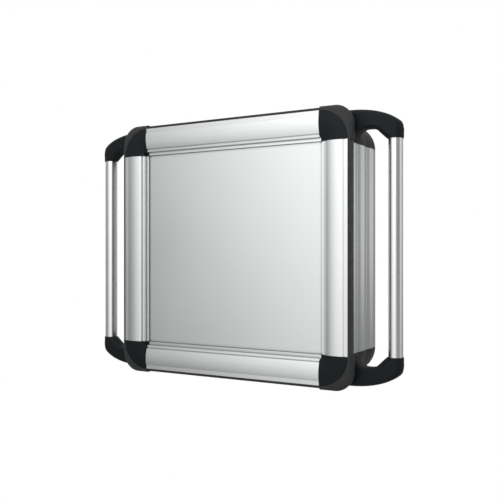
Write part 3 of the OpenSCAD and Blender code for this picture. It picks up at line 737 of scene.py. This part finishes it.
def cornerCap(s):
    outX, outZ = capOuter.x - openX, capOuter.z - openZ
    back = frameBack
    face = throughPoints(s["face"], 5)
    mesh = bpy.data.meshes.new("cap")
    shell = bmesh.new()

    def column(angle, shift):
        reach = capOutlineReach(angle, outX, outZ, s["outlineRadius"])
        start, end = Vector((s["edge"], s["edgeDepth"])), Vector((reach, s["shoulder"]))
        square = Vector((reach, s["edgeDepth"])) + s["squareIn"]
        slack = s["slack"] * math.sin(2 * angle) ** s["slackFall"] if 0 < angle < math.pi / 2 else 0
        control = square.lerp((start + end) / 2 + s["slackShift"], slack)
        fall = []
        for k in range(s["fallSteps"] + 1):
            t = k / s["fallSteps"]
            fall.append((1 - t) ** 2 * start + 2 * t * (1 - t) * control + t * t * end)
        fall.append(Vector((reach - s["taper"], back)))
        line = list(face) + [start - Vector((s["edgeRound"], s["edgeRound"]))] + fall
        return [shell.verts.new((r * math.cos(angle) + shift[0], v, r * math.sin(angle) + shift[1]))
                for r, v in line]

    lap = s["lap"]
    steps = s["columns"]
    columns = [column(math.pi / 2, (-lap, 0))]
    columns += [column(math.pi / 2 * (1 - i / steps), (0, 0)) for i in range(steps + 1)]
    columns += [column(0, (0, -lap))]
    inner = shell.verts.new((-lap, s["face"][0][1], -lap))
    innerBack = shell.verts.new((-lap, back, -lap))
    for first, second in zip(columns, columns[1:]):
        for i in range(len(first) - 1):
            shell.faces.new((first[i], first[i + 1], second[i + 1], second[i]))
    shell.faces.new([inner] + [c[0] for c in columns])
    shell.faces.new([innerBack] + [c[-1] for c in columns])
    shell.faces.new([inner] + columns[0] + [innerBack])
    shell.faces.new([inner] + columns[-1] + [innerBack])
    shell.to_mesh(mesh)
    shell.free()
    # the panel's corner sits in a pocket behind the cap
    pocket = block((-overcut, s["pocketFront"], -overcut), (s["pocket"], back + overcut, s["pocket"]))
    return cut(cleaned(mesh), [pocket])


for level, side, low, mirror in quarters:
    addPiece("frameCorner" + level + side, cornerCap(capSettings), Matrix.Translation((openX, 0, openZ)),
             "enclosure", "capPlastic", ["frame_corner_" + low], mirror, sharp=32)
print("front frame ready")

# front panel and its gasket
panelLow, panelHigh = extent("front_panel")
gasketLow, gasketHigh = extent("panel_gasket")
gasketWide = 4
addPiece("frontPanel",
         extruded([roundedBox(panelHigh.x, panelHigh.z, 1.5, 4)], panelHigh.y - panelLow.y, 0.3),
         facingPlate(panelLow.y), "enclosure", "panelSatin", ["front_panel"])
addPiece("panelGasket",
         extruded([roundedBox(gasketHigh.x, gasketHigh.z, 1.0, 3),
                   roundedBox(gasketHigh.x - gasketWide, gasketHigh.z - gasketWide, 1.0, 3)],
                  gasketHigh.y - gasketLow.y, 0.2),
         facingPlate(gasketLow.y), "enclosure", "sealRubber", ["panel_gasket"])

# housing
houseRight, houseBottom = extent("housing_profile_right"), extent("housing_profile_bottom")
inX, outX = houseRight[0].x, houseRight[1].x
inZ, outZ = -houseBottom[1].z, -houseBottom[0].z
runX, runZ = houseBottom[1].x, houseRight[1].z
houseFront, houseBack = houseRight[0].y, houseRight[1].y
houseSettings = {"rise": 2, "flutes": 3, "cellFrom": 2.5, "cellSkin": 3, "cellRim": 4,
                 "sealFrom": 4, "sealTo": 8, "sealDeep": 2}


def housingSection(s, wall, deep, holes=True):
    # drawn with x outwards from the inner wall and y to the back
    pitch = deep / s["flutes"]
    radius = pitch ** 2 / (8 * s["rise"]) + s["rise"] / 2
    half = math.degrees(math.asin(pitch / 2 / radius))
    outer = softOutline([
        (wall - s["rise"], deep), (0, deep, 0.6), (0, 0, 0.6), (s["sealFrom"], 0),
        (s["sealFrom"], s["sealDeep"]), (s["sealTo"], s["sealDeep"]), (s["sealTo"], 0),
    ], 3)[1:]
    for i in range(s["flutes"]):
        outer += arc(wall - radius, (i + 0.5) * pitch, radius, -half, half, 16)[0 if i == 0 else 1:]
    cell = wall - s["rise"] - s["cellSkin"]
    rim = s["cellRim"]
    cells = [softOutline([(s["cellFrom"], i * pitch + rim, 1), (cell, i * pitch + rim, 1),
                          (cell, (i + 1) * pitch - rim, 1), (s["cellFrom"], (i + 1) * pitch - rim, 1)], 3)
             for i in range(s["flutes"])]
    return [outer] + (cells if holes else [])


wall, deep = outX - inX, houseBack - houseFront
for word, low, mirror in sides:
    addPiece("housingProfile" + word, extruded(housingSection(houseSettings, wall, deep), 2 * runZ),
             uprightRun(inX, houseFront, runZ), "enclosure", "housingUpright",
             ["housing_profile_" + low], mirror)
addPiece("housingProfileBottom", extruded(housingSection(houseSettings, wall, deep), 2 * runX),
         levelRun(inZ, houseFront, runX), "enclosure", "housingLevel",
         ["housing_profile_bottom"], (1, -1))

# the top profile is milled for the arm flange and drilled for its screws and the cables
flangeLow, flangeHigh = extent("arm_flange")
armY = (flangeLow.y + flangeHigh.y) / 2
seatSettings = {"gap": 0.1, "cableRadius": 27, "armRadius": 4.25, "armX": 55, "armY": 38,
                "screwX": flangeHigh.x - 9, "screwRadius": 2.6, "bottom": inZ - 2}


def seatCutters(s):
    low = (flangeLow.x - s["gap"], flangeLow.y - s["gap"], flangeLow.z)
    high = (flangeHigh.x + s["gap"], flangeHigh.y + s["gap"], flangeHigh.z)
    tools = [block(low, high), post(0, armY, s["bottom"], outZ, s["cableRadius"])]
    for sx in (-1, 1):
        tools.append(post(sx * s["screwX"], armY, s["bottom"], outZ, s["screwRadius"], 24))
        for sy in (-1, 1):
            tools.append(post(sx * s["armX"], armY + sy * s["armY"], s["bottom"], outZ, s["armRadius"], 32))
    return tools


topMesh = cleaned(extruded(housingSection(houseSettings, wall, deep), 2 * runX))
topMesh.transform(levelRun(inZ, houseFront, runX))
topMesh.flip_normals()
addPiece("housingProfileTop", cut(topMesh, seatCutters(seatSettings)), Matrix.Identity(4), "enclosure",
         "housingLevel", ["housing_profile_top"])


def housingCorner(s, steps=28):
    section = housingSection(s, wall, deep, holes=False)[0]
    rings = []
    for i in range(steps + 1):
        a = math.pi / 2 * i / steps
        ring = [(inX - runX + across, back) for across, back in section]
        rings.append([(reach * math.cos(a), back, reach * math.sin(a)) for reach, back in ring])
    return fromRings(rings)


for level, side, low, mirror in quarters:
    addPiece("housingCorner" + level + side, housingCorner(houseSettings),
             Matrix.Translation((runX, houseFront, runZ)), "enclosure",
             "cornerCoat", ["housing_corner_" + low], mirror)
print("housing ready")

# handles
tubeLow, tubeHigh = extent("handle_tube_right")
tubeX, handleY = (tubeLow.x + tubeHigh.x) / 2, (tubeLow.y + tubeHigh.y) / 2
tubeRadius, tubeHalf = (tubeHigh.x - tubeLow.x) / 2, tubeHigh.z
armLow, armHigh = extent("handle_arm_top_right")
armThick, armBottom = armHigh.y - armLow.y, armLow.z
tubeWall = 2
for word, low, mirror in sides:
    addPiece("handleTube" + word,
             extruded([circle(0, 0, tubeRadius, 96), circle(0, 0, tubeRadius - tubeWall, 64)],
                      2 * tubeHalf, 0.3),
             uprightRun(tubeX, handleY, tubeHalf), "enclosure", "tubeSatin",
             ["handle_tube_" + low], mirror)

armSettings = {
    "archX": outX + 27.5, "archRadius": 21,
    "crownX": outX - 2, "crownRise": 12, "crownHigh": 44, "crownOver": 3.5,
    "seat": 18, "seatPlay": 0.05,   # the tube's seat in the arm
}


def handleArm(s):
    # lofted along the arm: each section runs from the inner curve to the outer curve
    collar = armThick / 2
    crownZ = runZ + s["crownRise"]
    crownWide = tubeX + collar - s["crownX"] + s["crownOver"]

    def crown(angle):
        a = math.radians(angle)
        return Vector((s["crownX"] + crownWide * math.cos(a), crownZ + s["crownHigh"] * math.sin(a)))

    def arch(angle):
        a = math.radians(angle)
        return Vector((s["archX"] + s["archRadius"] * math.cos(a), runZ + s["archRadius"] * math.sin(a)))

    outside = [Vector((tubeX + collar, armBottom)), Vector((tubeX + collar, armBottom + 9)),
               Vector((tubeX + collar - 0.2, armBottom + 17)), crown(22), crown(32), crown(44), crown(56),
               crown(68), crown(79), crown(89), crown(98), Vector((outX - 22, runZ + 47))]
    inside = [Vector((tubeX - collar, armBottom)), Vector((tubeX - collar - 1, armBottom + 0.4)),
              Vector((tubeX - collar - 6, armBottom + 5)), Vector((tubeX - collar - 11.5, armBottom + 10.5)),
              Vector((tubeX - collar - 17, armBottom + 16)), Vector((s["archX"] + 13, runZ + 19.8)),
              Vector((s["archX"] + 5, runZ + 21)), arch(104), arch(130), arch(155), arch(177),
              Vector((outX - 5, armBottom + 1))]
    rounds = [collar, collar, collar * 0.94, 11.5, 9.5, 8.5, 8, 7.5, 7.5, 7, 6, 4]
    line = throughPoints([(*o, *i) for o, i in zip(outside, inside)], 5)
    soft = throughPoints([(r, 0) for r in rounds], 5)
    rings = []
    for both, radius in zip(line, soft):
        outer, inner = Vector(both[:2]), Vector(both[2:])
        middle, reach = (outer + inner) / 2, (outer - inner).length / 2
        along = (outer - inner).normalized()
        rounding = min(radius[0], reach, collar) - 0.01
        ring = softOutline([(reach, -collar, rounding), (reach, collar, rounding),
                            (-reach, collar, rounding), (-reach, -collar, rounding)], 9)
        rings.append([(middle.x + along.x * u, v, middle.y + along.y * u) for u, v in ring])
    mesh = cleaned(fromRings(rings))
    seat = post(tubeX, 0, armBottom - overcut, armBottom + s["seat"], tubeRadius + s["seatPlay"], 96)
    return cut(mesh, [seat])


for level, side, low, mirror in quarters:
    addPiece("handleArm" + level + side, handleArm(armSettings), Matrix.Translation((0, handleY, 0)),
             "enclosure", "armCoat", ["handle_arm_" + low], mirror, sharp=40)
print("handles ready")

# rear door
doorLow, doorHigh = extent("rear_door")
doorSettings = {"radius": 40.6, "barrelRadius": 8.1, "latchX": 200, "latchZ": 120,
                "leafX": -216.2, "hingeZ": 130, "leafZ": 14, "leafRadius": 2, "soften": 0.5,
                "sealIn": 0.8, "sealWide": 3}   # the seal's outline inside the door's corner, and its width


def rearDoor(s):
    loops = [roundedBox(doorHigh.x, doorHigh.z, s["radius"], 24)]
    for sz in (-1, 1):
        loops.append(circle(s["latchX"], sz * s["latchZ"], s["barrelRadius"], 48))
        for sk in (-1, 1):
            loops.append(circle(s["leafX"], sz * s["hingeZ"] + sk * s["leafZ"], s["leafRadius"], 24))
    return extruded(loops, doorHigh.y - doorLow.y, s["soften"], 3)


addPiece("rearDoor", rearDoor(doorSettings), facingPlate(doorLow.y), "door", "doorSatin",
         ["rear_door"])
sealLow, sealHigh = extent("door_gasket")


def doorGasket(s):
    radius, wide = s["radius"] - s["sealIn"], s["sealWide"]
    loops = [roundedBox(sealHigh.x, sealHigh.z, radius, 24),
             roundedBox(sealHigh.x - wide, sealHigh.z - wide, radius - wide, 24)]
    return extruded(loops, sealHigh.y - sealLow.y, s["soften"])


addPiece("doorGasket", doorGasket(doorSettings), facingPlate(sealLow.y), "door", "sealRubber",
         ["door_gasket"])
print("rear door ready")

# hardware: the CAD shape with its edges broken
hardware = {
    # node: (body, slot, material, edge radius in mm)
    "arm_flange": ("enclosure", "flange_casting", "flangeCoat", 0.7),
    "arm_reinforcement": ("enclosure", "zinc_steel", "zincSteel", 0.3),
    "cable_rail": ("enclosure", "bright_steel", "railSatin", 0.3),
    "cable_rail_brackets": ("enclosure", "zinc_steel", "zincSteel", 0.4),
    "frame_brackets": ("enclosure", "zinc_steel", "zincSteel", 0.35),
    "frame_corner_angles": ("enclosure", "zinc_steel", "zincSteel", 0.3),
    "panel_clamps": ("enclosure", "zinc_steel", "zincSteel", 0.3),
    "latch_keepers": ("enclosure", "zinc_steel", "zincSteel", 0.4),
    "hinge_bases": ("enclosure", "bright_steel", "brightSteel", 0.3),
    "hinge_leaves": ("door", "bright_steel", "brightSteel", 0.35),
    "latch_barrels": ("door", "latch_casting", "latchCoat", 0.6),
    "latch_barrel_nuts": ("door", "zinc_steel", "zincSteel", 0.4),
    "latch_rotor_upper": ("upper_latch", "latch_rotor_metal", "brightSteel", 0.25),
    "latch_rotor_lower": ("lower_latch", "latch_rotor_metal", "brightSteel", 0.25),
    "latch_cam_upper": ("upper_latch", "zinc_steel", "zincSteel", 0.4),
    "latch_cam_lower": ("lower_latch", "zinc_steel", "zincSteel", 0.4),
    "latch_nuts_upper": ("upper_latch", "zinc_steel", "zincSteel", 0.3),
    "latch_nuts_lower": ("lower_latch", "zinc_steel", "zincSteel", 0.3),
    "earth_stud": ("enclosure", "earth_brass", "earthBrass", 0.3),
}


def camelName(node):
    words = node.split("_")
    return words[0] + "".join(w.capitalize() for w in words[1:])


def softened(node, body, material, radius):
    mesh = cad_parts[node].data.copy()
    work = bmesh.new()
    work.from_mesh(mesh)
    bmesh.ops.remove_doubles(work, verts=work.verts, dist=1e-6)
    bmesh.ops.dissolve_limit(work, angle_limit=math.radians(0.5), verts=work.verts, edges=work.edges)
    work.to_mesh(mesh)
    work.free()
    mesh.materials.clear()
    mesh.materials.append(finish[material])
    smoothShade(mesh, sharpAngle)
    piece = bpy.data.objects.new(camelName(node), mesh)
    bpy.context.scene.collection.objects.link(piece)
    bevel = piece.modifiers.new("brokenEdges", "BEVEL")
    bevel.width = radius * mm
    bevel.segments = 2
    bevel.limit_method = "ANGLE"
    bevel.angle_limit = math.radians(sharpAngle)
    bevel.harden_normals = False
    evenNormals(piece)
    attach(piece, body)
    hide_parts(node)


for node, (body, slot, material, radius) in hardware.items():
    softened(node, body, material, radius)
print("hardware ready")

# finishes of the pieces that keep their CAD shape
slotFinish = {
    "seal_rubber": "sealRubber", "zinc_steel": "zincSteel", "bright_steel": "brightSteel",
    "screw_steel": "screwSteel", "black_steel": "blackSteel", "earth_brass": "earthBrass",
}
for name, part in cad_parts.items():
    for slotHolder in part.material_slots:
        wanted = slotFinish.get(slotHolder.material.name)
        if wanted:
            slotHolder.material = finish[wanted]
